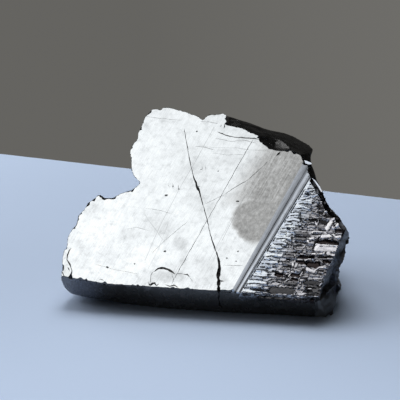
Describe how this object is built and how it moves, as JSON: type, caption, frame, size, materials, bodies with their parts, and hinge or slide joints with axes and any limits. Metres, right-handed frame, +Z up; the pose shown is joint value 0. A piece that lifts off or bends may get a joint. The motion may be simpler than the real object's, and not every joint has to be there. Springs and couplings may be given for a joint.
{
  "type": "raw shungite stone",
  "caption": "Broken chunk of raw black mineral with a bright flat cleavage face, a splintery flank and a flat underside to rest on.",
  "frame": {"origin": "centre of the bounding box, at the level of the flat underside", "axes": "+Z up, +X to the right along the cleavage face's lower edge, and the bright cleavage face leans back and looks towards -Y"},
  "size_m": [0.06, 0.0424, 0.034],
  "materials": {
    "shungite": "glassy black fracture with a silvery metallic sheen, mirror bright on the flat cleavage face"
  },
  "bodies": {
    "root": {"shungite": "shungite"}
  },
  "joints": []
}
